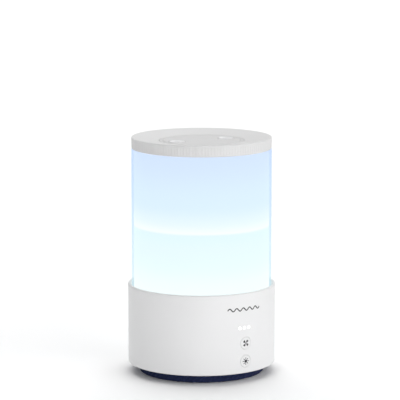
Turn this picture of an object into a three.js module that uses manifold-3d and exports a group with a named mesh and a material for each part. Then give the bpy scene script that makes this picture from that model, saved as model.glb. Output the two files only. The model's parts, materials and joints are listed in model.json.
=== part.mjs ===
// Cool mist humidifier: a round base with an ultrasonic mist maker, a lift-off lit tank, and a lid with a
// turning dial that carries two mist nozzles. Millimetres, +Z up, origin under the middle of the foot,
// buttons towards -Y, power inlet towards +Y.
import * as THREE from "three";
import { mergeVertices } from "three/addons/utils/BufferGeometryUtils.js";
import Module from "manifold-3d";

const wasm = await Module();
wasm.setup();

// ---------------------------------------------------------------- driving dimensions

const GAP = 0.3; // between two pieces that touch
const BASE_RADIUS = 77.5;
const BASE_WALL = 2.5;
const BASE_BOTTOM = 10.2;
const BASE_TOP = 94.4;
const FOOT_BOTTOM = 0.8;
const FOOT_RADIUS_LOW = 65.4;
const FOOT_RADIUS_HIGH = 67.5;
const TANK_RADIUS = 73.5;
const TANK_WALL = 3.1;
const TANK_TOP = 236.9;
const LID_RADIUS = 73.6;
const LID_TOP = 249;
const DISH_DEPTH = 3.6; // how far the dial lies below the lid's rim
const DIAL_RADIUS = 44.7;
const NOZZLE_OFFSET = 29.2;
const DIAL_PARKED_DEG = -7.2; // the dial stands turned a little from square
const BUTTON_RADIUS = 6.5;
const BUTTON_PROUD = 0.4;
const MIST_BUTTON_HEIGHT = 42;
const LIGHT_BUTTON_HEIGHT = 23;
const INDICATOR_HEIGHT = 58.4;
const INDICATOR_X = -1.5; // the middle one's
const INDICATOR_PITCH = 5.5;
const INDICATOR_RADIUS = 1.6;
const INLET_HEIGHT = 24;
const INLET_RADIUS = 5.5;
const HOLE_CLEARANCE = 0.35; // round a button or the inlet
const INDICATOR_CLEARANCE = 0.25;
const FAN_Y = 38;
const FLOAT_X = -44;
const VALVE_X = 44;
const SCREW_CIRCLE = 71.5; // the screws that hold the bottom cover to the tray's posts
const SCREW_ANGLES = [45, 135, 225, 315];
const PAD_RADIUS = 6;
const PAD_HEIGHT = 1.8;
const PAD_PLACES = [[35.4, 35.4], [-35.4, 35.4], [-35.4, -35.4], [35.4, -35.4]];
const BOARD_POSTS = [[-40, -44], [40, -44], [-40, 3], [40, 3]];
const FAN_POST_OFFSET = 21;

// Levels worked out from the ones above
const LEDGE_TOP = 79.8; // the tank stands here, inside the base
const TANK_BOTTOM = LEDGE_TOP + GAP;
const TANK_INNER = TANK_RADIUS - TANK_WALL;
const TANK_FLOOR_LOW = 84.5;
const TANK_FLOOR_HIGH = 87;
const BASE_INNER = BASE_RADIUS - BASE_WALL;
const SHELL_LEDGE_LOW = 77.3;
const TRAY_RIM = 75.8;
const TRAY_FLOOR = 60.2;
const TRAY_UNDERSIDE = 58;
const LID_BOTTOM = TANK_TOP + GAP;
const DIAL_TOP = LID_TOP - DISH_DEPTH;
const BOARD_LOW = 15.4; // main board
const BOARD_HIGH = 17;
const FAN_LOW = 14.3; // fan housing
const FAN_HIGH = 25.9;

const LARGE = 40; // facets round a large ring
const MEDIUM = 24;
const SMALL = 12;
const TINY = 8;

// ---------------------------------------------------------------- materials

const plastic = (color, roughness) =>
  new THREE.MeshStandardMaterial({ color, roughness, metalness: 0 });
const metal = (color, roughness) =>
  new THREE.MeshStandardMaterial({ color, roughness, metalness: 1 });

const white = plastic(0xe6e6e8, 0.5);
const navy = plastic(0x25283b, 0.55);
const trayWhite = plastic(0xdcdee2, 0.4);
const tankPlastic = plastic(0xdff0ff, 0.35);
const clearPlastic = plastic(0xe8f4fa, 0.2);
const dialGrey = plastic(0xd6d7da, 0.5);
const nozzleWhite = plastic(0xf5f6f8, 0.25);
const rubber = plastic(0x2b2c30, 0.85);
const silicone = plastic(0xe8e9ea, 0.7);
const blackPlastic = plastic(0x1d1e22, 0.5);
const board = plastic(0x1f5a3a, 0.55);
const lightGuide = plastic(0xffffff, 0.3);
const floatPlastic = plastic(0xf2f3f5, 0.45);
const steel = metal(0xc8c9cc, 0.3);
const aluminium = metal(0xb6b8bc, 0.4);
const magnetGrey = metal(0x6c6e73, 0.45);
const piezoSteel = metal(0xd0d2d4, 0.22);
const cableGrey = plastic(0x3a3b40, 0.6);

// ---------------------------------------------------------------- shape helpers

// A solid turned about Z from a profile of [radius, height] points, which starts and ends on the axis or
// is a closed ring. It may be listed either way round: the area's sign says which way faces out.
function turned(profile, segments = MEDIUM) {
  const area = profile.reduce((sum, [r, z], i) => {
    const [nextR, nextZ] = profile[(i + 1) % profile.length];
    return sum + r * nextZ - nextR * z;
  }, 0);
  const loop = profile[0][0] === 0 ? [...profile] : [...profile, profile[0]];
  if (area < 0) loop.reverse();
  const points = loop.map(([r, z]) => new THREE.Vector2(r, z));
  return new THREE.LatheGeometry(points, segments).rotateX(Math.PI / 2);
}

// A flat washer or tube of rectangular section.
function ring(inner, outer, low, high, segments = MEDIUM) {
  return turned([[inner, low], [outer, low], [outer, high], [inner, high]], segments);
}

function block([x0, x1], [y0, y1], [z0, z1]) {
  return new THREE.BoxGeometry(x1 - x0, y1 - y0, z1 - z0)
    .translate((x0 + x1) / 2, (y0 + y1) / 2, (z0 + z1) / 2);
}

// A round bar along Z, standing at x, y.
function post(radius, low, high, x = 0, y = 0, segments = SMALL) {
  return new THREE.CylinderGeometry(radius, radius, high - low, segments)
    .rotateX(Math.PI / 2)
    .translate(x, y, (low + high) / 2);
}

// A round bar along Y, at x, z.
function barAlongY(radius, y0, y1, x, z, segments = SMALL) {
  return new THREE.CylinderGeometry(radius, radius, y1 - y0, segments)
    .translate(x, (y0 + y1) / 2, z);
}

function circleShape(radius, sides) {
  const corners = Array.from({ length: sides }, (_, i) => {
    const angle = (2 * Math.PI * i) / sides;
    return new THREE.Vector2(radius * Math.cos(angle), radius * Math.sin(angle));
  });
  return new THREE.Shape(corners);
}

// A round wire or lead along a curve.
function lead(curve, radius, steps, sides = 8) {
  return new THREE.ExtrudeGeometry(circleShape(radius, sides), { steps, extrudePath: curve });
}

class Helix extends THREE.Curve {
  constructor(radius, low, high, turns) {
    super();
    Object.assign(this, { radius, low, high, turns });
  }

  getPoint(t, target = new THREE.Vector3()) {
    const angle = 2 * Math.PI * this.turns * t;
    const z = this.low + (this.high - this.low) * t;
    return target.set(this.radius * Math.cos(angle), this.radius * Math.sin(angle), z);
  }
}

function toSolid(geometry) {
  const bare = geometry.index ? geometry.toNonIndexed() : geometry.clone();
  bare.deleteAttribute("normal");
  bare.deleteAttribute("uv");
  const merged = mergeVertices(bare, 1e-4);
  return new wasm.Manifold(new wasm.Mesh({
    numProp: 3,
    vertProperties: merged.attributes.position.array,
    triVerts: new Uint32Array(merged.index.array),
  }));
}

function toGeometry(solid) {
  const { vertProperties, triVerts } = solid.getMesh();
  const geometry = new THREE.BufferGeometry();
  geometry.setAttribute("position", new THREE.BufferAttribute(vertProperties, 3));
  geometry.setIndex(new THREE.BufferAttribute(triVerts, 1));
  geometry.computeVertexNormals();
  return geometry;
}

const join = (...shapes) => toGeometry(shapes.map(toSolid).reduce((a, b) => a.add(b)));
const cut = (shape, ...tools) =>
  toGeometry(tools.map(toSolid).reduce((a, b) => a.subtract(b), toSolid(shape)));
const common = (a, b) => toGeometry(toSolid(a).intersect(toSolid(b)));

const times = (count, make) => Array.from({ length: count }, (_, i) => make(i));
const turnTo = (shape, degrees) => shape.rotateZ(THREE.MathUtils.degToRad(degrees));

function add(group, name, geometry, material) {
  const mesh = new THREE.Mesh(geometry, material);
  mesh.name = name;
  group.add(mesh);
  return mesh;
}

function groupAt(parent, x, y, z) {
  const group = new THREE.Group();
  group.position.set(x, y, z);
  parent.add(group);
  return group;
}

// ---------------------------------------------------------------- base housing

function baseShell() {
  const LEDGE_INNER = 69;
  const wall = turned([
    [BASE_INNER, BASE_BOTTOM],
    [BASE_RADIUS - 1.3, BASE_BOTTOM],
    [BASE_RADIUS - 0.3, BASE_BOTTOM + 0.4],
    [BASE_RADIUS, BASE_BOTTOM + 1.4],
    [BASE_RADIUS, BASE_TOP - 1.8],
    [BASE_RADIUS - 0.5, BASE_TOP - 0.6],
    [BASE_RADIUS - 1.7, BASE_TOP],
    [BASE_RADIUS - 2.6, BASE_TOP - 0.2],
    [BASE_RADIUS - 3.3, BASE_TOP - 1],
    [BASE_RADIUS - 3.3, LEDGE_TOP],
    [LEDGE_INNER, LEDGE_TOP],
    [LEDGE_INNER, SHELL_LEDGE_LOW],
    [BASE_INNER, SHELL_LEDGE_LOW],
  ], LARGE);
  const outside = -BASE_RADIUS - 2;
  const inside = -BASE_INNER + 5;
  const buttonHoles = [MIST_BUTTON_HEIGHT, LIGHT_BUTTON_HEIGHT].map((z) =>
    barAlongY(BUTTON_RADIUS + HOLE_CLEARANCE, outside, inside, 0, z, MEDIUM));
  const indicatorHoleRadius = INDICATOR_RADIUS + INDICATOR_CLEARANCE;
  const indicatorHoles = [-1, 0, 1].map((i) =>
    barAlongY(indicatorHoleRadius, outside, inside, INDICATOR_X + i * INDICATOR_PITCH,
      INDICATOR_HEIGHT, SMALL));
  const inletHoleRadius = INLET_RADIUS + HOLE_CLEARANCE;
  const inletHole = barAlongY(inletHoleRadius, BASE_INNER - 5, BASE_RADIUS + 2, 0, INLET_HEIGHT, MEDIUM);
  return cut(wall, ...buttonHoles, ...indicatorHoles, inletHole);
}

// The foot: a tapered pan with a flange that closes the shell from below, intake slots under the fan, and
// posts that hold the fan and the main board.
function bottomCover() {
  const FLANGE_TOP = BASE_BOTTOM + 2.2;
  const FLOOR_TOP = FOOT_BOTTOM + 2.2;
  const POST_RADIUS = 2.5;
  const POST_BOTTOM = FLOOR_TOP - 0.5;
  const SLOT_HALF_LENGTH = 15;
  const SLOT_HALF_WIDTH = 1.6;
  const pan = turned([
    [0, FOOT_BOTTOM],
    [FOOT_RADIUS_LOW, FOOT_BOTTOM],
    [FOOT_RADIUS_HIGH, BASE_BOTTOM],
    [BASE_INNER - 0.4, BASE_BOTTOM],
    [BASE_INNER - 0.4, FLANGE_TOP],
    [FOOT_RADIUS_HIGH - 2, FLANGE_TOP],
    [FOOT_RADIUS_LOW - 2, FLOOR_TOP],
    [0, FLOOR_TOP],
  ], LARGE);
  const fanPosts = [-FAN_POST_OFFSET, FAN_POST_OFFSET].flatMap((x) => [
    post(POST_RADIUS, POST_BOTTOM, FAN_LOW - GAP, x, FAN_Y - FAN_POST_OFFSET, TINY),
    post(POST_RADIUS, POST_BOTTOM, FAN_LOW - GAP, x, FAN_Y + FAN_POST_OFFSET, TINY),
  ]);
  const boardPosts = BOARD_POSTS.map(([x, y]) =>
    post(POST_RADIUS, POST_BOTTOM, BOARD_LOW - GAP, x, y, TINY));
  const slots = [-16, -8, 0, 8, 16].map((y) => block(
    [-SLOT_HALF_LENGTH, SLOT_HALF_LENGTH],
    [FAN_Y + y - SLOT_HALF_WIDTH, FAN_Y + y + SLOT_HALF_WIDTH],
    [FOOT_BOTTOM - 1, FLOOR_TOP + 1],
  ));
  const padRecesses = PAD_PLACES.map(([x, y]) =>
    post(PAD_RADIUS + GAP, FOOT_BOTTOM - 1, PAD_HEIGHT + GAP, x, y, SMALL));
  const screwHoles = SCREW_ANGLES.flatMap((angle) => [
    turnTo(post(1.7, BASE_BOTTOM - 1, FLANGE_TOP + 1, SCREW_CIRCLE, 0, TINY), angle),
    turnTo(post(2.8, BASE_BOTTOM - 1, BASE_BOTTOM + 1.2, SCREW_CIRCLE, 0, TINY), angle),
  ]);
  return cut(join(pan, ...fanPosts, ...boardPosts), ...slots, ...padRecesses, ...screwHoles);
}

function padsAndScrews(base) {
  PAD_PLACES.forEach(([x, y], i) => {
    const place = groupAt(base, x, y, 0);
    const pad = turned([[0, 0], [PAD_RADIUS - 0.5, 0], [PAD_RADIUS, 0.5],
      [PAD_RADIUS, PAD_HEIGHT], [0, PAD_HEIGHT]], SMALL);
    add(place, `foot_pad_${i + 1}`, pad, rubber);
  });
  SCREW_ANGLES.forEach((angle, i) => {
    const place = groupAt(base, 0, 0, BASE_BOTTOM);
    place.rotation.z = THREE.MathUtils.degToRad(angle);
    const screw = turned([[0, 0.1], [2.4, 0.1], [2.4, 0.9], [1.3, 0.9], [1.3, 13], [0, 14]], TINY);
    add(place, `cover_screw_${i + 1}`, screw, steel).position.x = SCREW_CIRCLE;
  });
}

// ---------------------------------------------------------------- water tray and mist maker

const PORT_OUTER = 9;
const PORT_INNER = 7.4;
const DISC_RADIUS = 9.9;
const HOUSING_RADIUS = 18.5; // of the transducer's pocket under the tray
const RETAINER_SCREW_CIRCLE = 14.8;

// The tray under the tank: a dished floor with the mist chamber's fence in the middle, an air port, the
// float's post, the post that opens the tank's valve, and four screw posts below.
function waterTray() {
  const TRAY_WALL_INNER = 66;
  const TRAY_WALL_OUTER = 68.2;
  const TRAY_RIM_OUTER = 74.6;
  const TRAY_RIM_LOW = TRAY_RIM - 2.4;
  const FENCE_INNER = 19;
  const FENCE_OUTER = 21;
  const FENCE_TOP = 71;
  const DISC_POCKET_TOP = 56.6;
  const DISC_HOUSING_LOW = 53.4;
  const pan = turned([
    [TRAY_RIM_OUTER, TRAY_RIM_LOW],
    [TRAY_RIM_OUTER, TRAY_RIM],
    [TRAY_WALL_INNER, TRAY_RIM],
    [TRAY_WALL_INNER, TRAY_FLOOR],
    [FENCE_OUTER, TRAY_FLOOR],
    [FENCE_OUTER, FENCE_TOP],
    [FENCE_INNER, FENCE_TOP],
    [FENCE_INNER, TRAY_FLOOR],
    [12.5, TRAY_UNDERSIDE - 0.2],
    [8.5, TRAY_UNDERSIDE - 0.2],
    [8.5, DISC_POCKET_TOP],
    [11.4, DISC_POCKET_TOP],
    [11.4, DISC_HOUSING_LOW],
    [HOUSING_RADIUS, DISC_HOUSING_LOW],
    [HOUSING_RADIUS, TRAY_UNDERSIDE],
    [TRAY_WALL_OUTER, TRAY_UNDERSIDE],
    [TRAY_WALL_OUTER, TRAY_RIM_LOW],
  ], 32);
  const fenceGates = [45, 135].map((angle) =>
    turnTo(block([-24, 24], [-3, 3], [TRAY_FLOOR, 65]), angle));
  const airPort = post(PORT_OUTER, TRAY_UNDERSIDE, 73.5, 0, FAN_Y, SMALL);
  const floatPost = post(2.2, TRAY_FLOOR - 1, 73, FLOAT_X, 0, TINY);
  const valvePost = post(3, TRAY_FLOOR - 1, 76.2, VALVE_X, 0, TINY);
  const screwPosts = SCREW_ANGLES.map((angle) =>
    turnTo(post(3, 12.7, TRAY_RIM - 1, SCREW_CIRCLE, 0, TINY), angle));
  const pilotHoles = SCREW_ANGLES.map((angle) =>
    turnTo(post(1.6, 10, 26, SCREW_CIRCLE, 0, TINY), angle));
  const retainerHoles = [-1, 1].map((side) =>
    post(1.5, 50, 57, side * RETAINER_SCREW_CIRCLE, 0, TINY));
  const gated = cut(pan, ...fenceGates);
  const built = join(gated, airPort, floatPost, valvePost, ...screwPosts);
  return cut(built, post(PORT_INNER, 50, 80, 0, FAN_Y, SMALL), ...pilotHoles, ...retainerHoles);
}

function mistMaker(base) {
  const seal = turned([[8.2, 55.5], [10.2, 55.5], [10.2, 53.8], [11.1, 53.8], [11.1, 56.3],
    [8.2, 56.3]]);
  add(base, "transducer_seal", seal, silicone);
  const disc = turned([[0, 53.9], [4, 53.9], [4, 54.2], [DISC_RADIUS, 54.2], [DISC_RADIUS, 55.2],
    [0, 55.2]]);
  add(base, "transducer_disc", disc, piezoSteel);
  const screwHoles = [-1, 1].map((side) => post(1.6, 50, 54, side * RETAINER_SCREW_CIRCLE, 0, TINY));
  add(base, "transducer_retainer", cut(ring(7, HOUSING_RADIUS, 51, 53.1), ...screwHoles), blackPlastic);
  [-1, 1].forEach((side, i) => {
    const screw = turned([[0, 49.1], [2.6, 49.1], [2.6, 50.7], [1.2, 50.7], [1.2, 56.4], [0, 56.6]], TINY);
    add(base, `retainer_screw_${i + 1}`, screw, steel).position.x = side * RETAINER_SCREW_CIRCLE;
  });
}

// ---------------------------------------------------------------- lights, boards and wiring

const CONTROL_BOARD_FRONT = -66.2;
const LIGHT_INNER = 50.5; // the ring of lamps and its diffuser
const LIGHT_OUTER = 63.5;

function nightLight(base) {
  const lamps = times(12, (i) => turnTo(block([55, 59], [-2, 2], [54.6, 56.2]), 15 + 30 * i));
  add(base, "led_ring_board", join(ring(LIGHT_INNER, LIGHT_OUTER, 53.4, 55), ...lamps), board);
  add(base, "light_diffuser", ring(LIGHT_INNER, LIGHT_OUTER, 56.6, TRAY_UNDERSIDE - GAP), lightGuide);
}

function mainBoard() {
  const plate = block([-45, 45], [-49, 8], [BOARD_LOW, BOARD_HIGH]);
  const seat = BOARD_HIGH - 0.4;
  const parts = [
    block([-38, -16], [-40, -20], [seat, 35]), // transformer
    block([-36, -24], [-12, 2], [seat, 27]), // inlet filter
    post(5, seat, 32, -8, -10, SMALL), // large capacitor
    post(3.2, seat, 27, -8, -24, SMALL),
    block([-12, 2], [-46, -38], [seat, 22]), // ribbon socket
    block([34, 42], [-2, 4], [seat, 23]), // power socket
    block([10, 18], [-14, -8], [seat, 22]), // transducer socket
  ];
  return join(plate, ...parts);
}

function heatSink() {
  const plate = block([14, 40], [-40, -22], [BOARD_HIGH + GAP, BOARD_HIGH + 3]);
  const fins = times(5, (i) =>
    block([14.5 + 5.9 * i, 16.3 + 5.9 * i], [-40, -22], [BOARD_HIGH + 2.6, 36]));
  return join(plate, ...fins);
}

function switchBody() {
  return join(
    block([-3, 3], [CONTROL_BOARD_FRONT - 4, CONTROL_BOARD_FRONT - GAP], [-3, 3]),
    barAlongY(1.7, CONTROL_BOARD_FRONT - 6.1, CONTROL_BOARD_FRONT - 3.8, 0, 0, TINY),
  );
}

// The three indicators are fingers of one clear moulding, lit from the control board below them.
function indicatorLightPipe() {
  const fingers = [-1, 0, 1].map((i) =>
    barAlongY(INDICATOR_RADIUS, -BASE_RADIUS + 0.05, -70.5, INDICATOR_X + i * INDICATOR_PITCH,
      INDICATOR_HEIGHT, SMALL));
  const across = [INDICATOR_X - 7.5, INDICATOR_X + 7.5];
  const bar = block(across, [-72, -69.4], [INDICATOR_HEIGHT - 2, INDICATOR_HEIGHT + 2]);
  const drop = block(across, [-71, -69.4], [49, INDICATOR_HEIGHT]);
  return join(bar, drop, ...fingers);
}

function electronics(base) {
  nightLight(base);
  add(base, "main_board", mainBoard(), board);
  add(base, "heat_sink", heatSink(), aluminium);
  const controlBoard = block([-11, 11], [CONTROL_BOARD_FRONT, CONTROL_BOARD_FRONT + 1.6], [14, 56]);
  add(base, "control_board", controlBoard, board);
  add(base, "mist_switch", switchBody(), blackPlastic).position.z = MIST_BUTTON_HEIGHT;
  add(base, "light_switch", switchBody(), blackPlastic).position.z = LIGHT_BUTTON_HEIGHT;
  add(base, "indicator_light_pipe", indicatorLightPipe(), lightGuide);
  const reedSensor = join(block([-2.4, 2.4], [-8, 8], [0, 2.2]), block([-4, 4], [-2.5, 2.5], [0, 2.2]));
  add(base, "reed_sensor", reedSensor, blackPlastic).position.set(FLOAT_X, 0, 55.4);
}

// A power inlet: a round bezel in the rear wall, a socket body behind it and a centre pin in its bore.
function powerInlet() {
  const BEZEL_FACE = BASE_RADIUS + BUTTON_PROUD;
  const body = join(
    barAlongY(INLET_RADIUS, 70, BEZEL_FACE, 0, 0, SMALL),
    block([-5, 5], [64.4, 74], [-5.5, 5.5]),
  );
  const bored = cut(body, barAlongY(2.9, 66.5, BEZEL_FACE + 1, 0, 0, SMALL));
  return join(bored, barAlongY(1.05, 66, BEZEL_FACE - 1.2, 0, 0, TINY));
}

function wiring(base) {
  const v = (x, y, z) => new THREE.Vector3(x, y, z);
  const power = new THREE.CatmullRomCurve3([
    v(5.3, 68, 24), v(16, 68.5, 24), v(28.5, 63, 23.5), v(35, 50, 22), v(38, 30, 20.5), v(38, 12, 20),
    v(38, 4.4, 20),
  ]);
  add(base, "power_lead", lead(power, 1.6, 18, 6), cableGrey);
  const transducer = new THREE.CatmullRomCurve3([
    v(3, 0, 53.5), v(3.4, -1, 47), v(7, -6, 36), v(12, -10, 27), v(14, -11, 22.4),
  ]);
  add(base, "transducer_lead", lead(transducer, 1.2, 14, 6), cableGrey);
  const ribbonPath = new THREE.Shape();
  ribbonPath.moveTo(-64.2, 18);
  ribbonPath.bezierCurveTo(-60, 18, -60, 26, -54, 26);
  ribbonPath.bezierCurveTo(-49, 26, -46, 25.5, -44, 22.4);
  ribbonPath.lineTo(-43, 22.4);
  ribbonPath.bezierCurveTo(-45, 26.4, -49, 26.9, -54, 26.9);
  ribbonPath.bezierCurveTo(-61, 26.9, -61, 18.9, -64.2, 18.9);
  const ribbon = new THREE.ExtrudeGeometry(ribbonPath, { depth: 10, bevelEnabled: false, curveSegments: 5 });
  // The shape is drawn in Y and Z, so X, Y, Z of the extrusion turn to Y, Z, X.
  ribbon.applyMatrix4(new THREE.Matrix4().set(0, 0, 1, -10, 1, 0, 0, 0, 0, 1, 0, 0, 0, 0, 0, 1));
  add(base, "control_ribbon", ribbon, cableGrey);
}

// ---------------------------------------------------------------- fan

const FAN_BORE = 23.6;
const HUB_RADIUS = 10.3;
const SPOKE_HEIGHT = 1.8;

function fanHousing() {
  const frame = cut(
    block([-25, 25], [-25, 25], [FAN_LOW, FAN_HIGH]),
    post(FAN_BORE, FAN_LOW - 1, FAN_HIGH + 1, 0, 0, 36),
  );
  const spokes = times(3, (i) =>
    turnTo(block([5, 24.5], [-1.2, 1.2], [FAN_LOW, FAN_LOW + SPOKE_HEIGHT]), 30 + 120 * i));
  return join(frame, ...spokes, post(HUB_RADIUS - 0.5, FAN_LOW, FAN_LOW + SPOKE_HEIGHT));
}

// A cup that turns over the motor, with seven pitched blades and the shaft in its middle.
function fanImpeller() {
  const BLADE_TIP = 22.4;
  const BLADE_PITCH = 0.6;
  const cup = turned([[0, 22.7], [9.2, 22.7], [9.2, 17.2], [HUB_RADIUS, 17.2], [HUB_RADIUS, 24.2],
    [0, 24.2]], SMALL);
  const shaft = post(1.2, 16.9, 23.2, 0, 0, TINY);
  const blades = times(7, (i) => {
    const blade = new THREE.BoxGeometry(BLADE_TIP - HUB_RADIUS + 0.6, 1, 8)
      .rotateX(BLADE_PITCH)
      .translate((BLADE_TIP + HUB_RADIUS - 0.6) / 2, 0, 20.8);
    return turnTo(blade, (360 * i) / 7);
  });
  return join(cup, shaft, ...blades);
}

function airDuct() {
  return turned([
    [24.4, FAN_HIGH + GAP],
    [24.4, 29],
    [10.2, 45],
    [10.2, TRAY_UNDERSIDE - GAP],
    [8.6, TRAY_UNDERSIDE - GAP],
    [8.6, 44.4],
    [22.8, 28.4],
    [22.8, FAN_HIGH + GAP],
  ]);
}

function fan(base) {
  const place = groupAt(base, 0, FAN_Y, 0);
  add(place, "fan_housing", fanHousing(), blackPlastic);
  add(place, "fan_motor", ring(1.6, 8.4, FAN_LOW + SPOKE_HEIGHT + GAP, 22), steel);
  add(place, "fan_impeller", fanImpeller(), blackPlastic);
  add(place, "air_duct", airDuct(), trayWhite);
}

// ---------------------------------------------------------------- float

const FLOAT_TRAVEL = 5.5;

function floatSwitch(base) {
  const place = groupAt(base, FLOAT_X, 0, 0);
  const low = TRAY_FLOOR + 0.5;
  const high = low + 6.6;
  const body = turned([[2.8, low], [3.4, low], [3.4, low + 2.6], [6, low + 2.6], [6, low], [9.5, low],
    [9.5, high - 1], [8.5, high], [2.8, high]], SMALL);
  add(place, "float", body, floatPlastic);
  add(place, "float_magnet", ring(3.7, 5.7, low, low + 2.3, SMALL), magnetGrey);
  const capLow = high + FLOAT_TRAVEL + GAP;
  const cap = turned([[0, 73.3], [2.5, 73.3], [2.5, capLow - 0.1], [5, capLow - 0.1], [5, 75.6],
    [0, 75.6]], SMALL);
  add(place, "float_cap", cap, trayWhite);
}

// ---------------------------------------------------------------- buttons

// A button is a round cap that follows the wall's curve, a flange behind the wall and a stem on the switch.
function button(base, name, height) {
  const face = -BASE_RADIUS - BUTTON_PROUD;
  const FLANGE_FRONT = -74.1;
  const FLANGE_BACK = -73.4;
  const place = groupAt(base, 0, 0, height);
  const curvedCap = common(
    barAlongY(BUTTON_RADIUS, face - 1, FLANGE_BACK, 0, 0, MEDIUM),
    post(BASE_RADIUS + BUTTON_PROUD, -10, 10, 0, 0, 64),
  );
  const flange = barAlongY(BUTTON_RADIUS + 1.3, FLANGE_FRONT, FLANGE_BACK, 0, 0, MEDIUM);
  const stem = barAlongY(2, FLANGE_BACK - 0.3, FLANGE_BACK + 0.2, 0, 0, TINY);
  add(place, name, join(curvedCap, flange, stem), white);
}

// ---------------------------------------------------------------- tank

const TUBE_OUTER = 16;
const TUBE_INNER = 14.2;

function tankShell() {
  return turned([
    [TANK_INNER, TANK_BOTTOM],
    [TANK_RADIUS - 0.6, TANK_BOTTOM],
    [TANK_RADIUS, TANK_BOTTOM + 0.6],
    [TANK_RADIUS, TANK_TOP - 0.6],
    [TANK_RADIUS - 0.6, TANK_TOP],
    [TANK_INNER + 0.5, TANK_TOP],
    [TANK_INNER, TANK_TOP - 0.5],
  ], LARGE);
}

function tankFloor() {
  const plate = ring(TUBE_OUTER + GAP, TANK_INNER - GAP, TANK_FLOOR_LOW, TANK_FLOOR_HIGH, LARGE);
  return cut(plate, post(10.4, TANK_FLOOR_LOW - 1, TANK_FLOOR_HIGH + 1, VALVE_X, 0, SMALL));
}

// The tube that carries the mist from the chamber up through the water to the lid.
function mistTube() {
  return turned([
    [TUBE_INNER, 72.4],
    [TUBE_OUTER, 72.4],
    [TUBE_OUTER, TANK_FLOOR_HIGH + GAP],
    [20, TANK_FLOOR_HIGH + GAP],
    [20, TANK_FLOOR_HIGH + 1.6],
    [TUBE_OUTER, TANK_FLOOR_HIGH + 3.6],
    [TUBE_OUTER, 226],
    [TUBE_INNER, 226],
  ]);
}

const SEAT_TOP = 90;
const CAGE_TOP = 108;
const VALVE_OPEN = 3; // how far the washer stands above its closed place while the tank is on the base

function valveSeat() {
  const body = turned([[5.5, 82], [13, 82], [13, 84.2], [10, 84.2], [10, SEAT_TOP], [5.5, SEAT_TOP]], SMALL);
  const bridge = block([-6.5, 6.5], [-1.2, 1.2], [84, 88]);
  const hub = post(3.6, 84, 88, 0, 0, TINY);
  return cut(join(body, bridge, hub), post(2.2, 80, 92, 0, 0, TINY));
}

function valveCage() {
  const cup = turned([[10.3, TANK_FLOOR_HIGH + GAP], [12.2, TANK_FLOOR_HIGH + GAP], [12.2, CAGE_TOP],
    [2.3, CAGE_TOP], [2.3, CAGE_TOP - 2], [10.3, CAGE_TOP - 2]], SMALL);
  const windows = [0, 90].map((angle) => turnTo(block([-14, 14], [-5, 5], [91, 103]), angle));
  return cut(cup, ...windows);
}

function valve(tank) {
  const place = groupAt(tank, VALVE_X, 0, 0);
  add(place, "valve_seat", valveSeat(), clearPlastic);
  add(place, "valve_cage", valveCage(), clearPlastic);
  const washerLow = SEAT_TOP + GAP + VALVE_OPEN;
  const headLow = washerLow + 1.5 + GAP;
  const headHigh = headLow + 1.8;
  const pin = turned([[0, 76.5], [1.2, 76.5], [1.8, 77.1], [1.8, headLow], [8, headLow], [8, headHigh],
    [1.8, headHigh], [1.8, 104.5], [0, 104.5]], SMALL);
  add(place, "valve_pin", pin, trayWhite);
  add(place, "valve_washer", ring(2.1, 8, washerLow, washerLow + 1.5, SMALL), rubber);
  const spring = new Helix(5, headHigh + GAP + 0.5, CAGE_TOP - 2 - GAP - 0.5, 3.5);
  add(place, "valve_spring", lead(spring, 0.5, 40, 5), steel);
}

function buildTank(humidifier) {
  const tank = groupAt(humidifier, 0, 0, 0);
  add(tank, "tank_shell", tankShell(), tankPlastic);
  add(tank, "tank_floor", tankFloor(), clearPlastic);
  add(tank, "mist_tube", mistTube(), clearPlastic);
  valve(tank);
}

// ---------------------------------------------------------------- lid and dial

const DIAL_SEAT = 242.7;
const DIAL_HOLE = 38;
const HUB_OUTER = DIAL_HOLE - 0.4;
const NOZZLE_BODY_RADIUS = 6;
const NOZZLE_FLANGE_RADIUS = 9;
const NOZZLE_SEAT = DIAL_TOP - 1.4; // the ledge in the dial under the nozzle's flange

function lidCover() {
  return turned([
    [LID_RADIUS - 2.6, LID_BOTTOM],
    [LID_RADIUS - 0.6, LID_BOTTOM],
    [LID_RADIUS, LID_BOTTOM + 1.8],
    [LID_RADIUS, LID_TOP - 1.2],
    [LID_RADIUS - 0.5, LID_TOP - 0.3],
    [LID_RADIUS - 1.3, LID_TOP],
    [LID_RADIUS - 2.2, LID_TOP - 0.3],
    [DIAL_RADIUS + 0.6, DIAL_TOP],
    [DIAL_RADIUS + 0.3, DIAL_TOP - 0.2],
    [DIAL_RADIUS + 0.3, DIAL_SEAT],
    [DIAL_HOLE, DIAL_SEAT],
    [DIAL_HOLE, DIAL_SEAT - 2],
    [DIAL_RADIUS + 2, DIAL_SEAT - 2],
    [DIAL_RADIUS + 2, DIAL_TOP - 2.1],
    [LID_RADIUS - 3.1, LID_TOP - 2.7],
    [LID_RADIUS - 2.6, LID_TOP - 3.2],
  ], LARGE);
}

// The plug under the lid: it seals the tank's mouth, takes the mist tube's end and spreads the mist
// towards the nozzles.
function lidLiner() {
  return turned([
    [18.7, 222.5],
    [20.5, 222.5],
    [20.5, 232],
    [66.2, 232],
    [66.2, 227],
    [69, 227],
    [69, 229.4],
    [68, 229.4],
    [68, 232.6],
    [69, 232.6],
    [69, 238.4],
    [70.6, 238.7],
    [70.6, 240.3],
    [67.2, 240.3],
    [67.2, 234],
    [18.7, 234],
  ], 32);
}

function lidSeal() {
  return turned([[68.4, 229.8], [69.4, 229.8], [70.1, 231], [69.4, 232.2], [68.4, 232.2]], LARGE);
}

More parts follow.
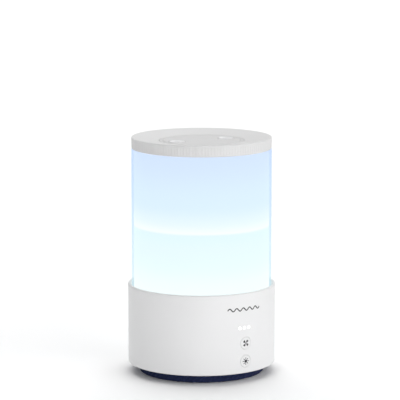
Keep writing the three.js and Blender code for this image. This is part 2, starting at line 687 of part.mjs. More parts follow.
function nozzleDial() {
  const disc = turned([
    [0, DIAL_SEAT + GAP],
    [35.6, DIAL_SEAT + GAP],
    [35.6, 238],
    [HUB_OUTER, 238],
    [HUB_OUTER, DIAL_SEAT + GAP],
    [DIAL_RADIUS, DIAL_SEAT + GAP],
    [DIAL_RADIUS, DIAL_TOP],
    [41.6, DIAL_TOP],
    [41.3, DIAL_TOP - 0.6],
    [40.9, DIAL_TOP - 0.6],
    [40.6, DIAL_TOP],
    [0, DIAL_TOP],
  ], LARGE);
  const holes = [-1, 1].flatMap((side) => [
    post(NOZZLE_BODY_RADIUS + GAP, 240, 250, side * NOZZLE_OFFSET, 0, MEDIUM),
    post(NOZZLE_FLANGE_RADIUS + GAP, NOZZLE_SEAT, 250, side * NOZZLE_OFFSET, 0, MEDIUM),
  ]);
  return cut(disc, ...holes);
}

// A funnel set into the dial, wide at the top, with a short spout below.
function nozzle() {
  const BORE_RADIUS = 4.2;
  const SPOUT_BOTTOM = 240.5;
  return turned([
    [BORE_RADIUS, SPOUT_BOTTOM],
    [NOZZLE_BODY_RADIUS, SPOUT_BOTTOM],
    [NOZZLE_BODY_RADIUS, NOZZLE_SEAT + GAP],
    [NOZZLE_FLANGE_RADIUS, NOZZLE_SEAT + GAP],
    [NOZZLE_FLANGE_RADIUS, DIAL_TOP + 0.3],
    [NOZZLE_FLANGE_RADIUS - 0.3, DIAL_TOP + 0.6],
    [NOZZLE_FLANGE_RADIUS - 0.7, DIAL_TOP + 0.6],
    [BORE_RADIUS, DIAL_TOP - 2.8],
  ]);
}

function buildLid(humidifier) {
  const lid = groupAt(humidifier, 0, 0, 0);
  add(lid, "lid_cover", lidCover(), white);
  add(lid, "lid_liner", lidLiner(), white);
  add(lid, "lid_seal", lidSeal(), silicone);
  const dial = groupAt(lid, 0, 0, 0);
  dial.rotation.z = THREE.MathUtils.degToRad(DIAL_PARKED_DEG);
  add(dial, "nozzle_dial", nozzleDial(), dialGrey);
  add(dial, "nozzle_left", nozzle(), nozzleWhite).position.x = -NOZZLE_OFFSET;
  add(dial, "nozzle_right", nozzle(), nozzleWhite).position.x = NOZZLE_OFFSET;
  add(dial, "dial_retainer", ring(HUB_OUTER + GAP, 41.5, 238.2, DIAL_SEAT - 2 - GAP, 36), white);
}

// ---------------------------------------------------------------- the whole object

function buildBase(humidifier) {
  const base = groupAt(humidifier, 0, 0, 0);
  add(base, "base_shell", baseShell(), white);
  add(base, "bottom_cover", bottomCover(), navy);
  padsAndScrews(base);
  add(base, "water_tray", waterTray(), trayWhite);
  add(base, "tray_seal", ring(70, 74.4, TRAY_RIM + GAP, SHELL_LEDGE_LOW - GAP, 36), silicone);
  mistMaker(base);
  electronics(base);
  add(base, "power_inlet", powerInlet(), blackPlastic).position.z = INLET_HEIGHT;
  wiring(base);
  fan(base);
  floatSwitch(base);
  button(base, "mist_button", MIST_BUTTON_HEIGHT);
  button(base, "light_button", LIGHT_BUTTON_HEIGHT);
}

const group = new THREE.Group();
buildBase(group);
buildTank(group);
buildLid(group);

export default group;
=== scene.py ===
"""Looks of the cool mist humidifier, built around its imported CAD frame. Metres, +Z up, buttons towards -Y."""

import json
import math

import bmesh
import bpy
from mathutils import Matrix, Vector


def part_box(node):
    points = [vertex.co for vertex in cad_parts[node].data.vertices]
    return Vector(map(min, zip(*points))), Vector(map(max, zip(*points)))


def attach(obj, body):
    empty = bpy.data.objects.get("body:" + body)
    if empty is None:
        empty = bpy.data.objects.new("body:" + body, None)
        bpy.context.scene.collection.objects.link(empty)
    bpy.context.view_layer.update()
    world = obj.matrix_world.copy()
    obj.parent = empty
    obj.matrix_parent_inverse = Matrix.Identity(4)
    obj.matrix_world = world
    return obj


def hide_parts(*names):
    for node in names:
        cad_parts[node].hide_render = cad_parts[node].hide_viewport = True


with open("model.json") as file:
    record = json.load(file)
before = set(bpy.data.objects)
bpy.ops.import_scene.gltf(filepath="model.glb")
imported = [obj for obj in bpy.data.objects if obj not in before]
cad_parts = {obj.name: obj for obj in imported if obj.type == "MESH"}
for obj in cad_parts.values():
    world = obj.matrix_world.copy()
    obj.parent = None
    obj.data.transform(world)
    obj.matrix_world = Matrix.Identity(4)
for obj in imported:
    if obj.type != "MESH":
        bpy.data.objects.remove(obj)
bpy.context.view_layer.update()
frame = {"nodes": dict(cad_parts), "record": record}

MM = 0.001
TAU = 2 * math.pi
TOUCH = 1e-6  # millimetres; closer than this counts as the same place
CLEARANCE = 0.3  # millimetres between parts that fit into one another
SHARP_ANGLE = math.radians(32)  # an edge that turns by more than this is drawn sharp
scene = bpy.context.scene
nodes = frame["nodes"]


# ---------------------------------------------------------------- camera

# The camera stands to the left of the buttons and looks a little down.
CAMERA_AZIMUTH = math.radians(-36)
CAMERA_DISTANCE = 2.415
CAMERA_HEIGHT = 0.5657
CAMERA_PITCH = math.radians(9.034)
CAMERA_ASIDE = 0.00163
CAMERA_LENS_MM = 209.5
CAMERA_SIDE = Vector((math.sin(CAMERA_AZIMUTH), -math.cos(CAMERA_AZIMUTH), 0))


def place_camera():
    data = bpy.data.cameras.new("camera")
    data.lens = CAMERA_LENS_MM
    data.clip_start = 0.1
    data.clip_end = 100
    camera = bpy.data.objects.new("camera", data)
    scene.collection.objects.link(camera)
    right = Vector((math.cos(CAMERA_AZIMUTH), math.sin(CAMERA_AZIMUTH), 0))
    level = CAMERA_SIDE * CAMERA_DISTANCE - right * CAMERA_ASIDE
    camera.location = level + Vector((0, 0, CAMERA_HEIGHT))
    camera.rotation_euler = (math.pi / 2 - CAMERA_PITCH, 0, CAMERA_AZIMUTH)
    scene.camera = camera


# ---------------------------------------------------------------- mesh helpers


def rounded(points, steps=5):
    """A closed outline of (r, z) or (r, z, fillet) corners, in millimetres, with each fillet as an arc."""
    outline = []
    for i, corner in enumerate(points):
        here = Vector(corner[:2])
        fillet = corner[2] if len(corner) > 2 else 0
        if not fillet:
            outline.append(here)
            continue
        to_last = (Vector(points[i - 1][:2]) - here).normalized()
        to_next = (Vector(points[(i + 1) % len(points)][:2]) - here).normalized()
        half = to_last.angle(to_next) / 2
        start = here + to_last * (fillet / math.tan(half))
        centre = here + (to_last + to_next).normalized() * (fillet / math.sin(half))
        spoke = start - centre
        turn = math.pi - 2 * half
        if to_last.cross(to_next) > 0:
            turn = -turn
        for k in range(steps + 1):
            outline.append(centre + Matrix.Rotation(turn * k / steps, 2) @ spoke)
    return outline


def split_long(outline, longest):
    """The outline with its long straight stretches divided, closing edge included."""
    divided = []
    for i, here in enumerate(outline):
        there = outline[(i + 1) % len(outline)]
        parts = max(1, math.ceil((there - here).length / longest))
        divided += [here.lerp(there, k / parts) for k in range(parts)]
    return divided


def new_object(name, bm):
    bmesh.ops.recalc_face_normals(bm, faces=bm.faces)
    mesh = bpy.data.meshes.new(name)
    bm.to_mesh(mesh)
    bm.free()
    piece = bpy.data.objects.new(name, mesh)
    scene.collection.objects.link(piece)
    shade_smooth(piece)
    return piece


def shade_smooth(piece):
    """Smooth faces, with sharp edges where the surface turns by more than SHARP_ANGLE."""
    bm = bmesh.new()
    bm.from_mesh(piece.data)
    for face in bm.faces:
        face.smooth = True
    for edge in bm.edges:
        edge.smooth = len(edge.link_faces) == 2 and edge.calc_face_angle() < SHARP_ANGLE
    bm.to_mesh(piece.data)
    bm.free()


def revolve(name, outline, columns=192, centre=(0, 0), shift=None):
    """Turns a closed (r, z) outline in millimetres about a vertical axis through centre, in metres.
    shift(angle, r, z) moves a point outwards, in millimetres. A corner on the axis becomes one vertex."""
    bm = bmesh.new()
    rings = []
    for r, z in outline:
        if r < TOUCH:
            rings.append([bm.verts.new((centre[0], centre[1], z * MM))] * columns)
            continue
        ring = []
        for c in range(columns):
            angle = TAU * c / columns
            reach = (r + (shift(angle, r, z) if shift else 0)) * MM
            ring.append(bm.verts.new((
                centre[0] + reach * math.cos(angle), centre[1] + reach * math.sin(angle), z * MM)))
        rings.append(ring)
    for lower, upper in zip(rings, rings[1:] + rings[:1]):
        for c in range(columns):
            d = (c + 1) % columns
            corners = list(dict.fromkeys([lower[c], lower[d], upper[d], upper[c]]))
            if len(corners) > 2:
                bm.faces.new(corners)
    return new_object(name, bm)


def round_bar(name, radius, length, place, columns):
    bm = bmesh.new()
    bmesh.ops.create_cone(
        bm, cap_ends=True, segments=columns, radius1=radius * MM, radius2=radius * MM,
        depth=length * MM, matrix=place)
    return new_object(name, bm)


def level_bar(name, radius, start, end, x, z, columns):
    """A round bar along Y from start to end."""
    middle = Matrix.Translation((x * MM, (start + end) / 2 * MM, z * MM))
    return round_bar(name, radius, end - start, middle @ Matrix.Rotation(math.pi / 2, 4, "X"), columns)


def upright_bar(name, radius, low, high, x, y, columns):
    """A round bar along Z from low to high."""
    middle = Matrix.Translation((x * MM, y * MM, (low + high) / 2 * MM))
    return round_bar(name, radius, high - low, middle, columns)


def block(name, xs, ys, zs):
    """A box between the (low, high) limits along each axis."""
    bm = bmesh.new()
    size = Vector((xs[1] - xs[0], ys[1] - ys[0], zs[1] - zs[0])) * MM
    middle = Vector((sum(xs), sum(ys), sum(zs))) / 2 * MM
    bmesh.ops.create_cube(bm, size=1, matrix=Matrix.Translation(middle) @ Matrix.Diagonal((*size, 1)))
    return new_object(name, bm)


def apply_modifiers(piece):
    """Replaces the piece's mesh with the one that its modifiers make."""
    evaluated = piece.evaluated_get(bpy.context.evaluated_depsgraph_get())
    mesh = bpy.data.meshes.new_from_object(evaluated)
    piece.modifiers.clear()
    piece.data = mesh


def combine(piece, others, operation):
    """Cuts the others, which stand clear of one another, out of piece, or joins them to it."""
    bm = bmesh.new()
    for other in others:
        bm.from_mesh(other.data)
        bpy.data.objects.remove(other)
    tool = new_object("tool", bm)
    modifier = piece.modifiers.new("combine", "BOOLEAN")
    modifier.operation = operation
    modifier.object = tool
    modifier.solver = "EXACT"
    apply_modifiers(piece)
    bpy.data.objects.remove(tool)
    shade_smooth(piece)


def dress(piece, body, slot, material, *stands_for):
    """Gives a piece its material, its body and the CAD nodes that it stands for. Its slot is not used."""
    piece.data.materials.clear()
    piece.data.materials.append(material)
    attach(piece, body)
    if stands_for:
        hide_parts(*stands_for)


# ---------------------------------------------------------------- materials


NOISE_LOW = 0.3  # most of a noise texture's values lie between these two
NOISE_HIGH = 0.7


class Shader:
    """A Principled material with helpers that add its procedural detail."""

    def __init__(self, name, color, roughness, metallic=0.0):
        self.material = bpy.data.materials.new(name)
        self.material.use_nodes = True
        self.tree = self.material.node_tree
        self.principled = self.tree.nodes["Principled BSDF"]
        self.principled.inputs["Metallic"].default_value = metallic
        self.color = color
        self.roughness = roughness
        self.set("Base Color", (*color, 1))
        self.set("Roughness", roughness)

    def set(self, socket, value):
        self.principled.inputs[socket].default_value = value

    def node(self, kind, **values):
        made = self.tree.nodes.new(kind)
        for key, value in values.items():
            setattr(made, key, value)
        return made

    def link(self, source, target):
        self.tree.links.new(source, target)

    def noise(self, size_mm, detail=3.0, stretch=(1, 1, 1)):
        """Noise in object space whose features are about size_mm across."""
        place = self.node("ShaderNodeTexCoord")
        scale = self.node("ShaderNodeMapping")
        scale.inputs["Scale"].default_value = stretch
        noise = self.node("ShaderNodeTexNoise")
        noise.inputs["Scale"].default_value = 1 / (size_mm * MM)
        noise.inputs["Detail"].default_value = detail
        self.link(place.outputs["Object"], scale.inputs["Vector"])
        self.link(scale.outputs["Vector"], noise.inputs["Vector"])
        return noise.outputs["Fac"]

    def ramp(self, source, stops, interpolation="LINEAR"):
        """Turns a value into a colour, with stops as (value, colour)."""
        ramp = self.node("ShaderNodeValToRGB")
        band = ramp.color_ramp
        band.interpolation = interpolation
        while len(band.elements) < len(stops):
            band.elements.new(0.5)
        for element, (position, color) in zip(band.elements, stops):
            element.position = position
            element.color = (*color, 1)
        self.link(source, ramp.inputs["Fac"])
        return ramp.outputs["Color"]

    def vary_color(self, size_mm, amount):
        """Slow, faint changes of shade, as a moulding has."""
        darker = tuple(c * (1 - amount) for c in self.color)
        lighter = tuple(min(1, c * (1 + amount)) for c in self.color)
        shade = self.ramp(self.noise(size_mm), [(NOISE_LOW, darker), (NOISE_HIGH, lighter)])
        self.link(shade, self.principled.inputs["Base Color"])

    def vary_roughness(self, size_mm, amount):
        """Patches that are a little duller or shinier than the rest."""
        spread = self.node("ShaderNodeMapRange")
        spread.inputs["From Min"].default_value = NOISE_LOW
        spread.inputs["From Max"].default_value = NOISE_HIGH
        spread.inputs["To Min"].default_value = max(0.02, self.roughness - amount)
        spread.inputs["To Max"].default_value = min(1, self.roughness + amount)
        self.link(self.noise(size_mm), spread.inputs["Value"])
        self.link(spread.outputs["Result"], self.principled.inputs["Roughness"])

    def grain(self, size_mm, height_mm, strength=0.3, stretch=(1, 1, 1)):
        """Fine surface texture as bump."""
        bump = self.node("ShaderNodeBump")
        bump.inputs["Strength"].default_value = strength
        bump.inputs["Distance"].default_value = height_mm * MM
        self.link(self.noise(size_mm, 2.0, stretch), bump.inputs["Height"])
        self.link(bump.outputs["Normal"], self.principled.inputs["Normal"])


def satin_plastic(name, color, roughness=0.42, grain_mm=0.5):
    shader = Shader(name, color, roughness)
    shader.vary_color(size_mm=60, amount=0.012)
    shader.vary_roughness(size_mm=9, amount=0.05)
    shader.grain(grain_mm, height_mm=0.02, strength=0.25)
    return shader.material


def dull(material):
    """The same material with weaker reflections."""
    material.node_tree.nodes["Principled BSDF"].inputs["Specular IOR Level"].default_value = 0.05
    return material


def gloss_plastic(name, color, roughness):
    shader = Shader(name, color, roughness)
    shader.vary_color(size_mm=40, amount=0.015)
    shader.vary_roughness(size_mm=14, amount=0.04)
    shader.grain(size_mm=6, height_mm=0.05, strength=0.15)
    return shader.material


def rubber_like(name, color, roughness=0.75):
    shader = Shader(name, color, roughness)
    shader.vary_color(size_mm=5, amount=0.06)
    shader.vary_roughness(size_mm=4, amount=0.08)
    shader.grain(size_mm=0.35, height_mm=0.05, strength=0.5)
    return shader.material


def bare_metal(name, color, roughness, stretch=(1, 1, 1)):
    shader = Shader(name, color, roughness, metallic=1.0)
    shader.vary_color(size_mm=3, amount=0.05)
    shader.vary_roughness(size_mm=1.5, amount=0.08)
    shader.grain(size_mm=0.4, height_mm=0.02, strength=0.3, stretch=stretch)
    return shader.material


def glowing_plastic(name, color, glow, strength):
    shader = Shader(name, color, roughness=0.3)
    shader.vary_roughness(size_mm=3, amount=0.05)
    shader.grain(size_mm=0.8, height_mm=0.02, strength=0.2)
    shader.set("Emission Color", (*glow, 1))
    shader.set("Emission Strength", strength)
    return shader.material


TRACK_SCALE = 90  # the higher, the finer the board's tracks


def printed_circuit(name):
    """Green board with lighter green tracks under the solder mask."""
    shader = Shader(name, (0.02, 0.12, 0.06), roughness=0.35)
    shader.vary_roughness(size_mm=6, amount=0.08)
    shader.grain(size_mm=0.8, height_mm=0.05, strength=0.3)
    place = shader.node("ShaderNodeTexCoord")
    bricks = shader.node("ShaderNodeTexBrick")
    bricks.inputs["Scale"].default_value = TRACK_SCALE
    bricks.inputs["Color1"].default_value = (0.015, 0.11, 0.055, 1)
    bricks.inputs["Color2"].default_value = (0.02, 0.16, 0.08, 1)
    bricks.inputs["Mortar"].default_value = (0.05, 0.26, 0.12, 1)
    shader.link(place.outputs["Object"], bricks.inputs["Vector"])
    shader.link(bricks.outputs["Color"], shader.principled.inputs["Base Color"])
    return shader.material


PAINTED_WATER_LINE = 158.0  # height of the painted bright line that stands in for the water's surface catching the light from below
# Strengths of the painted glow on the tank's two layers, which stands in for the light that the base sends up
# into the tank.
FROST_GLOW = 2.0
SKIN_GLOW = 1.0
SKIN_ALPHA = 0.4


def painted_glow_by_height(shader, strength, stops):
    """Painted glow given off by the tank's wall, standing in for the light that rises from the base, with stops
    as (share of the wall's height, colour).
    """
    low, high = (corner.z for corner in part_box("tank_shell"))
    place = shader.node("ShaderNodeTexCoord")
    split = shader.node("ShaderNodeSeparateXYZ")
    level = shader.node("ShaderNodeMapRange")
    level.inputs["From Min"].default_value = low
    level.inputs["From Max"].default_value = high
    shader.link(place.outputs["Object"], split.inputs["Vector"])
    shader.link(split.outputs["Z"], level.inputs["Value"])
    glow = shader.ramp(level.outputs["Result"], stops, "EASE")
    shader.link(glow, shader.principled.inputs["Emission Color"])
    shader.set("Emission Strength", strength)


def frosted_wall(name):
    """Frosted inner face of the tank with a painted glow for the light from below: mint white near the base,
    turning to blue and violet towards the lid, with a painted bright line for the water's surface part-way up."""
    shader = Shader(name, (0.10, 0.11, 0.12), roughness=0.5)
    shader.vary_roughness(size_mm=12, amount=0.04)
    shader.grain(size_mm=0.6, height_mm=0.015, strength=0.2)
    low, high = (corner.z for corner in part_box("tank_shell"))
    line = (PAINTED_WATER_LINE * MM - low) / (high - low)
    # Painted glow by height, with a painted bright band where the water's surface would catch the light.
    painted_glow_by_height(shader, FROST_GLOW, [
        (0.0, (0.72, 0.61, 0.51)),
        (0.14, (0.68, 0.60, 0.51)),
        (0.27, (0.625, 0.597, 0.495)),
        (0.38, (0.61, 0.575, 0.507)),
        (line - 0.02, (0.60, 0.60, 0.51)),
        (line, (0.87, 0.693, 0.493)),
        (line + 0.015, (0.80, 0.67, 0.49)),
        (line + 0.06, (0.70, 0.645, 0.49)),
        (line + 0.16, (0.617, 0.60, 0.497)),
        (1.0, (0.58, 0.545, 0.49)),
    ])
    return shader.material


def clear_skin(name):
    """Clear outer layer of the tank, with a painted glow for the light that runs in it."""
    shader = Shader(name, (0.05, 0.06, 0.07), roughness=0.08)
    shader.vary_roughness(size_mm=14, amount=0.03)
    shader.grain(size_mm=6, height_mm=0.03, strength=0.1)
    # Painted glow by height for the light that runs in the clear skin, paler near the base and bluer towards
    # the lid.
    painted_glow_by_height(shader, SKIN_GLOW, [
        (0.0, (0.60, 0.82, 0.90)),
        (0.35, (0.50, 0.75, 0.90)),
        (0.70, (0.36, 0.60, 0.93)),
        (1.0, (0.32, 0.54, 0.93)),
    ])
    shader.set("Specular IOR Level", 0.0)
    shader.set("Alpha", SKIN_ALPHA)
    return shader.material


def make_materials():
    """One material for each slot of the record, and two more: the tank's skin and the printed marks."""
    return {
        "white_plastic": satin_plastic("white_plastic", (0.705, 0.705, 0.71)),
        "lid_plastic": dull(satin_plastic("lid_plastic", (0.645, 0.645, 0.647), 0.55)),
        "dial_plastic": dull(satin_plastic("dial_plastic", (0.60, 0.60, 0.602), 0.55, 0.35)),
        "nozzle_plastic": gloss_plastic("nozzle_plastic", (0.72, 0.72, 0.73), 0.25),
        "navy_plastic": dull(satin_plastic("navy_plastic", (0.019, 0.026, 0.072), 0.5, 0.4)),
        "tray_plastic": gloss_plastic("tray_plastic", (0.74, 0.75, 0.77), 0.3),
        "tank_plastic": frosted_wall("tank_plastic"),
        "tank_skin": clear_skin("tank_skin"),
        "clear_plastic": gloss_plastic("clear_plastic", (0.70, 0.78, 0.82), 0.15),
        "light_guide": glowing_plastic("light_guide", (0.9, 0.92, 0.95), (1, 1, 1), 0.9),
        "float_plastic": satin_plastic("float_plastic", (0.82, 0.82, 0.84), 0.5, 0.3),
        "black_plastic": satin_plastic("black_plastic", (0.02, 0.02, 0.023), 0.45, 0.4),
        "lead_plastic": rubber_like("lead_plastic", (0.03, 0.03, 0.035), 0.5),
        "circuit_board": printed_circuit("circuit_board"),
        "silicone": rubber_like("silicone", (0.66, 0.67, 0.69), 0.55),
        "rubber": rubber_like("rubber", (0.015, 0.015, 0.017)),
        "steel": bare_metal("steel", (0.62, 0.63, 0.65), 0.28),
        "transducer_steel": bare_metal("transducer_steel", (0.72, 0.73, 0.75), 0.18),
        "magnet": bare_metal("magnet", (0.12, 0.12, 0.13), 0.55),
        "aluminium": bare_metal("aluminium", (0.65, 0.66, 0.68), 0.35, (1, 1, 12)),
        "print_grey": satin_plastic("print_grey", (0.012, 0.012, 0.014), 0.5),
    }


# ---------------------------------------------------------------- base

BASE_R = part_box("base_shell")[1].x / MM
BASE_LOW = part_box("base_shell")[0].z / MM
BASE_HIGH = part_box("base_shell")[1].z / MM
BASE_WALL = 2.5
BASE_LIP = 3.3  # the wall's thickness round the tank's foot
LEDGE_R = 69  # inner radius of the ledge that the tank stands on
LEDGE_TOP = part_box("tank_shell")[0].z / MM - CLEARANCE
LEDGE_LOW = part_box("tray_seal")[1].z / MM + CLEARANCE
SIDE_COLUMNS = 256
BUTTON_R = 6.5
BUTTON_HOLE_R = 6.68
INLET_HOLE_R = 5.85
HOLE_OUTSIDE = 3  # how far a hole's cutter reaches out of the base's face, and into it
HOLE_INSIDE = 6
INDICATOR_PITCH = 5.5
INDICATOR_R = 1.6
INDICATOR_HOLE_R = 1.7
INDICATOR_MARGIN = 2  # from the outer fingers' axes to the edges of the bar behind them


def node_centre(node):
    low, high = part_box(node)
    return (low + high) / 2


MIST_Z = node_centre("mist_button").z / MM
LIGHT_Z = node_centre("light_button").z / MM
INLET_Z = node_centre("power_inlet").z / MM
INDICATOR_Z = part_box("indicator_light_pipe")[1].z / MM - INDICATOR_MARGIN
INDICATOR_X = node_centre("indicator_light_pipe").x / MM
INDICATOR_XS = [INDICATOR_X + side * INDICATOR_PITCH for side in (-1, 0, 1)]


def base_shell(looks):
    """The white outer shell of the base, with a ledge round its inside for the tank."""
    inside = BASE_R - BASE_WALL
    lip = BASE_R - BASE_LIP
    outline = rounded([
        (inside, BASE_LOW, 0.3),
        (BASE_R, BASE_LOW, 1.4),
        (BASE_R, BASE_HIGH, 1.6),
        (lip, BASE_HIGH, 1.5),
        (lip, LEDGE_TOP),
        (LEDGE_R, LEDGE_TOP),
        (LEDGE_R, LEDGE_LOW),
        (inside, LEDGE_LOW),
    ], 8)
    shell = revolve("shell", split_long(outline, 4), SIDE_COLUMNS)
    out, back = BASE_R + HOLE_OUTSIDE, BASE_R - HOLE_INSIDE
    holes = [level_bar("hole", BUTTON_HOLE_R, -out, -back, 0, z, 64) for z in (MIST_Z, LIGHT_Z)]
    holes += [level_bar("hole", INDICATOR_HOLE_R, -out, -back, x, INDICATOR_Z, 32) for x in INDICATOR_XS]
    holes.append(level_bar("hole", INLET_HOLE_R, back, out, 0, INLET_Z, 64))
    combine(shell, holes, "DIFFERENCE")
    dress(shell, "base", "white_plastic", looks["white_plastic"], "base_shell")


FOOT_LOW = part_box("bottom_cover")[0].z / MM
FOOT_R_LOW = 65.4
FOOT_R_HIGH = 67.5
FOOT_RIBS = 72
FOOT_RIB_BAND = (0.06, 0.94)  # the shares of the side's height between which the ribs run
FOOT_RIB_FADE = (0.12, 0.12)
FOOT_SIDE = (FOOT_R_LOW - 0.9, FOOT_R_HIGH + 0.2)  # the radii between which a point is on the outer side
RIB_SLANT = 0.16  # radians that a rib leans sideways from its foot to its top
RIB_DEPTH = 0.9
RIB_STEEPNESS = 1.1
COVER_THICKNESS = 2.2
COVER_SIDE = 2  # thickness of the cover's side, measured level
COVER_GAP = 0.4
FLANGE_R = BASE_R - BASE_WALL - COVER_GAP
FLANGE_TOP = BASE_LOW + COVER_THICKNESS
FLOOR_TOP = FOOT_LOW + COVER_THICKNESS


def fade_out(up, band, fades):
    """1 inside the band, falling to 0 towards its low and high end over the two stretches in fades."""
    return max(0, min(1, (up - band[0]) / fades[0], (band[1] - up) / fades[1]))


def foot(looks):
    """The navy cover below the base, which stands in from the wall and is ribbed round its side."""
    outline = rounded([
        (0, FOOT_LOW),
        (FOOT_R_LOW, FOOT_LOW, 0.8),
        (FOOT_R_HIGH, BASE_LOW, 0.3),
        (FLANGE_R, BASE_LOW, 0.3),
        (FLANGE_R, FLANGE_TOP),
        (FOOT_R_HIGH - COVER_SIDE, FLANGE_TOP),
        (FOOT_R_LOW - COVER_SIDE, FLOOR_TOP, 1),
        (0, FLOOR_TOP),
    ])
    rise = BASE_LOW - FOOT_LOW

    def ribs(angle, r, z):
        """Slanted grooves between ribs on the outer side, fading out at its edges."""
        if not FOOT_SIDE[0] < r < FOOT_SIDE[1]:
            return 0
        up = (z - FOOT_LOW) / rise
        wave = math.cos(FOOT_RIBS * (angle - RIB_SLANT * up))
        groove = min(1, max(0, 0.5 - RIB_STEEPNESS * wave))
        return -RIB_DEPTH * fade_out(up, FOOT_RIB_BAND, FOOT_RIB_FADE) * groove

    pan = revolve("foot", split_long(outline, 1.0), FOOT_RIBS * 8, shift=ribs)
    combine(pan, foot_posts(), "UNION")
    combine(pan, foot_openings(), "DIFFERENCE")
    dress(pan, "base", "navy_plastic", looks["navy_plastic"], "bottom_cover")


FAN_Y = (node_centre("fan_impeller") / MM).y
FAN_POST_OFFSETS = (-21, 21)
BOARD_POSTS = [(-40, -44), (40, -44), (-40, 3), (40, 3)]
POST_R = 2.5
POST_ROOT = 0.5  # how deep a post is sunk into the floor
AIR_SLOT_OFFSETS = (-16, -8, 0, 8, 16)
AIR_SLOT_REACH = 15  # half the length of a slot
AIR_SLOT_HALF = 1.6  # half the width of a slot
SCREW_HOLE_R = 1.7
SCREW_SINK_R = 2.8
SCREW_SINK_DEPTH = 1.2
OVERSHOOT = 1  # how far a cutter reaches past the cover


def foot_posts():
    """Posts on the cover's floor that carry the fan and the main board."""
    fan_posts = [(x, FAN_Y + y) for x in FAN_POST_OFFSETS for y in FAN_POST_OFFSETS]
    posts = []
    for carried, places in (("fan_housing", fan_posts), ("main_board", BOARD_POSTS)):
        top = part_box(carried)[0].z / MM - CLEARANCE
        posts += [upright_bar("post", POST_R, FLOOR_TOP - POST_ROOT, top, x, y, 24) for x, y in places]
    return posts


def foot_openings():
    """Air slots below the fan, seats for the pads and sunk holes for the cover's screws."""
    low = FOOT_LOW - OVERSHOOT
    cuts = []
    for offset in AIR_SLOT_OFFSETS:
        across = (-AIR_SLOT_REACH, AIR_SLOT_REACH)
        along = (FAN_Y + offset - AIR_SLOT_HALF, FAN_Y + offset + AIR_SLOT_HALF)
        cuts.append(block("slot", across, along, (low, FLOOR_TOP + OVERSHOOT)))
    sink_top = BASE_LOW + SCREW_SINK_DEPTH
    sunk_hole = [
        (0, BASE_LOW - OVERSHOOT),
        (SCREW_SINK_R, BASE_LOW - OVERSHOOT),
        (SCREW_SINK_R, sink_top),
        (SCREW_HOLE_R, sink_top),
        (SCREW_HOLE_R, FLANGE_TOP + OVERSHOOT),
        (0, FLANGE_TOP + OVERSHOOT),
    ]
    for i in range(1, 5):
        pad_low, pad_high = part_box(f"foot_pad_{i}")
        pad = node_centre(f"foot_pad_{i}") / MM
        seat_r = (pad_high.x - pad_low.x) / 2 / MM + CLEARANCE
        cuts.append(upright_bar("seat", seat_r, low, pad_high.z / MM + CLEARANCE, pad.x, pad.y, 64))
        screw = node_centre(f"cover_screw_{i}")
        cuts.append(revolve("hole", sunk_hole, 32, (screw.x, screw.y)))
    return cuts


# ---------------------------------------------------------------- tank, lid and dial

TANK_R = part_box("tank_shell")[1].x / MM
TANK_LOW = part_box("tank_shell")[0].z / MM
TANK_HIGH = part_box("tank_shell")[1].z / MM
TANK_WALL = 3.1
SKIN_WALL = 2.3
FROST_GAP = 0.05  # between the skin and the frosted wall
FROST_INSET = 0.2  # by which the frosted wall is shorter at each end


def tank(looks):
    """A thin frosted inner wall behind a thick clear skin."""
    skin_inside = TANK_R - SKIN_WALL
    frost_outside = skin_inside - FROST_GAP
    frost_low, frost_high = TANK_LOW + FROST_INSET, TANK_HIGH - FROST_INSET
    skin = rounded([
        (skin_inside, TANK_LOW, 0.4),
        (TANK_R, TANK_LOW, 0.8),
        (TANK_R, TANK_HIGH, 0.8),
        (skin_inside, TANK_HIGH, 0.8),
    ])
    frost = rounded([
        (TANK_R - TANK_WALL, frost_low, 0.2),
        (frost_outside, frost_low, 0.2),
        (frost_outside, frost_high, 0.2),
        (TANK_R - TANK_WALL, frost_high, 0.2),
    ])
    outer = revolve("tank_skin", split_long(skin, 6), SIDE_COLUMNS)
    inner = revolve("tank", split_long(frost, 6), SIDE_COLUMNS)
    dress(outer, "tank", "tank_plastic", looks["tank_skin"], "tank_shell")
    dress(inner, "tank", "tank_plastic", looks["tank_plastic"])


LID_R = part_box("lid_cover")[1].x / MM
LID_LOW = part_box("lid_cover")[0].z / MM
LID_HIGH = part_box("lid_cover")[1].z / MM
DIAL_R = 44.7
DIAL_TOP = LID_HIGH - 3.6
DIAL_SEAT = 242.7
DIAL_LOW = 238
DIAL_HOLE_R = 38
LID_RIM = 2.6  # thickness of the side at its foot
LID_LEAN = 0.3  # how far the side's foot stands in from its top
LID_EDGE = 2.0  # width of the flat edge round the top
LID_RIM_TOP = 2.9  # thickness of the side where the top starts
LID_TOP_OUTER = 2.7  # thickness of the top at its outer and inner edge
LID_TOP_INNER = 2.1
SEAT_THICKNESS = 2
SEAT_WALL = 1.7
LID_RIBS = 144
LID_RIB_DEPTH = 0.26
LID_RIB_BAND = (0.08, 0.86)  # the shares of the side's height between which the ribs run
LID_RIB_FADE = (0.08, 0.06)
LID_SIDE_R = LID_R - 0.75  # a point further out than this is on the outer side


